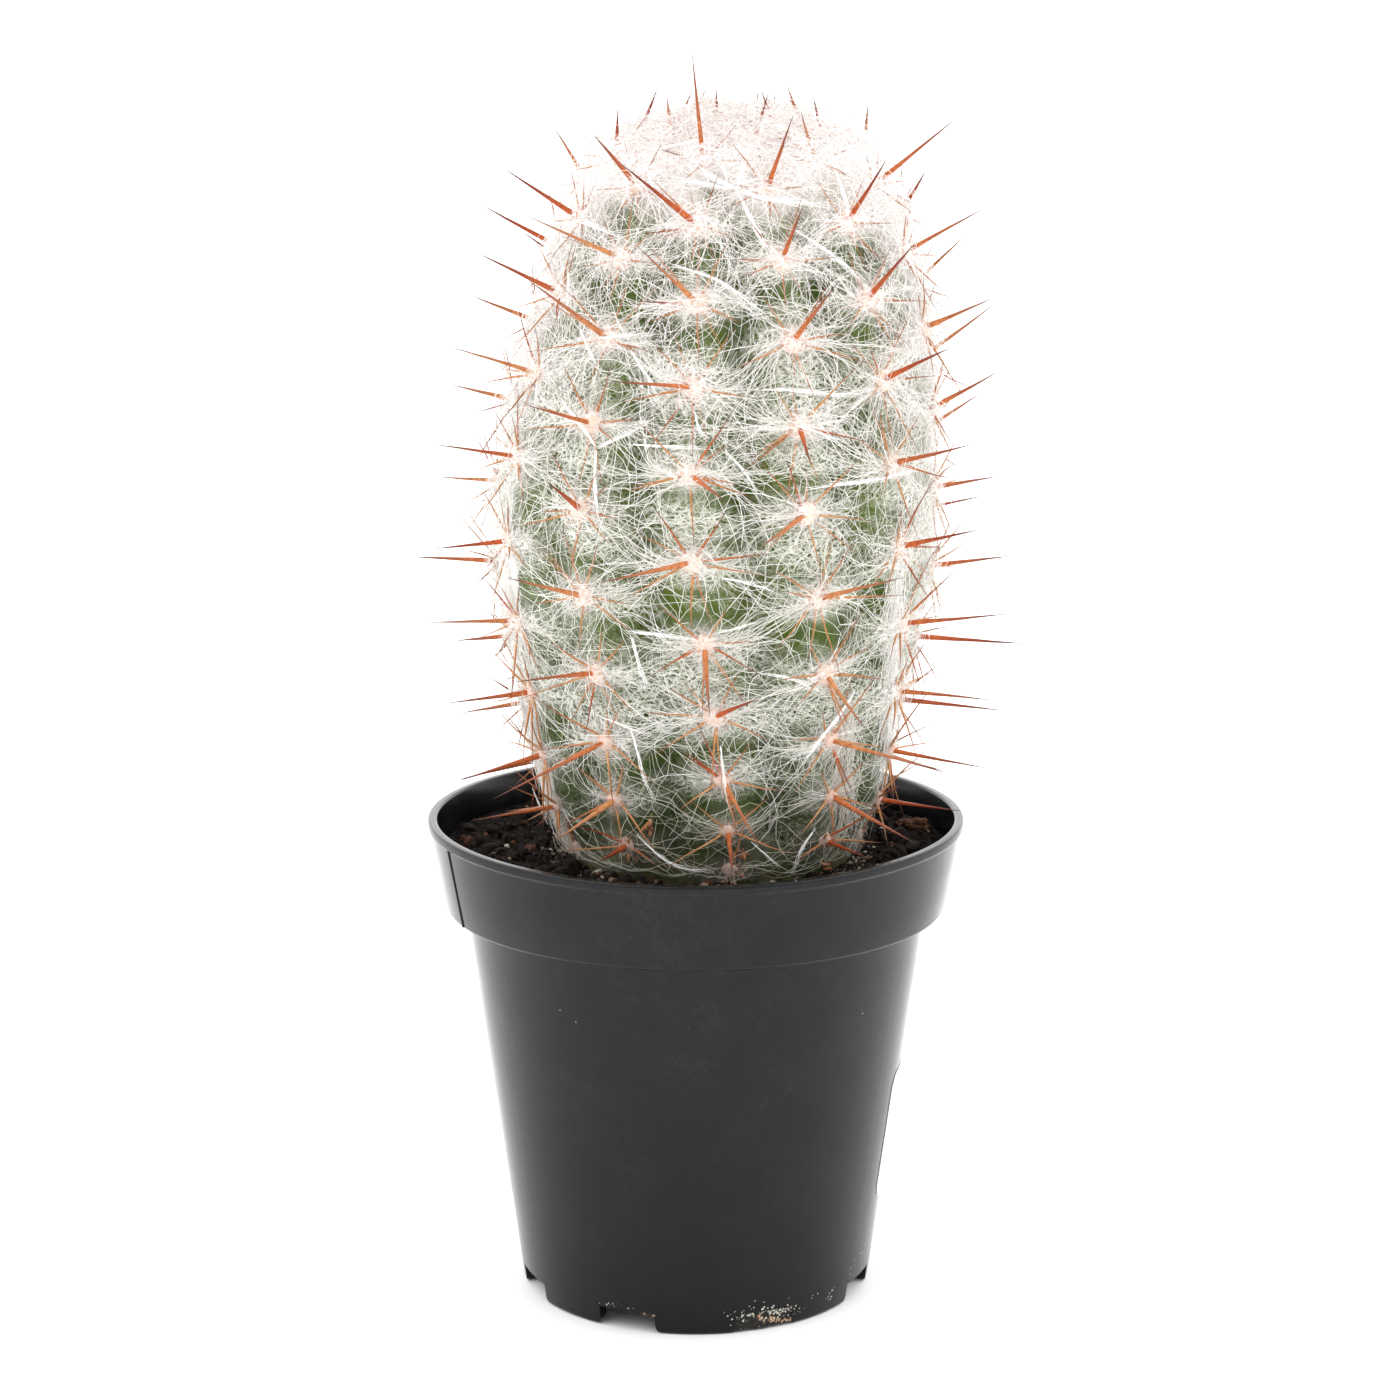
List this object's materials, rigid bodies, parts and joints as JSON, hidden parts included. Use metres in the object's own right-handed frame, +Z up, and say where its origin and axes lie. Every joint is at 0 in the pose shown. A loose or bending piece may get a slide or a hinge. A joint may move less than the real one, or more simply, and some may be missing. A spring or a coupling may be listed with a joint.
{
  "type": "potted oreocereus",
  "caption": "Ribbed column cactus with woolly areoles, long spines and white hair, standing in soil in a round black plastic nursery pot with a bare label.",
  "frame": {"origin": "on the floor under the middle of the whole plant's box, close to the pot's axis", "axes": "+Z up, front towards -Y, +X to the right seen from the front"},
  "size_m": [0.1207, 0.113, 0.2423],
  "materials": {
    "pot_plastic": "satin black polypropylene with a little dust",
    "soil_mix": "dark moist potting mix of peat and bark",
    "cactus_skin": "dull olive green waxy skin",
    "label_paper": "matt white sticker",
    "spines": "hard satin spines, orange at the base and dark red-brown at the tip",
    "hair": "fine silky white hair and cream wool",
    "perlite": "chalky white grains and lime crust"
  },
  "bodies": {
    "root": {"pot": "pot_plastic", "soil": "soil_mix", "cactus": "cactus_skin", "label": "label_paper"}
  },
  "joints": []
}
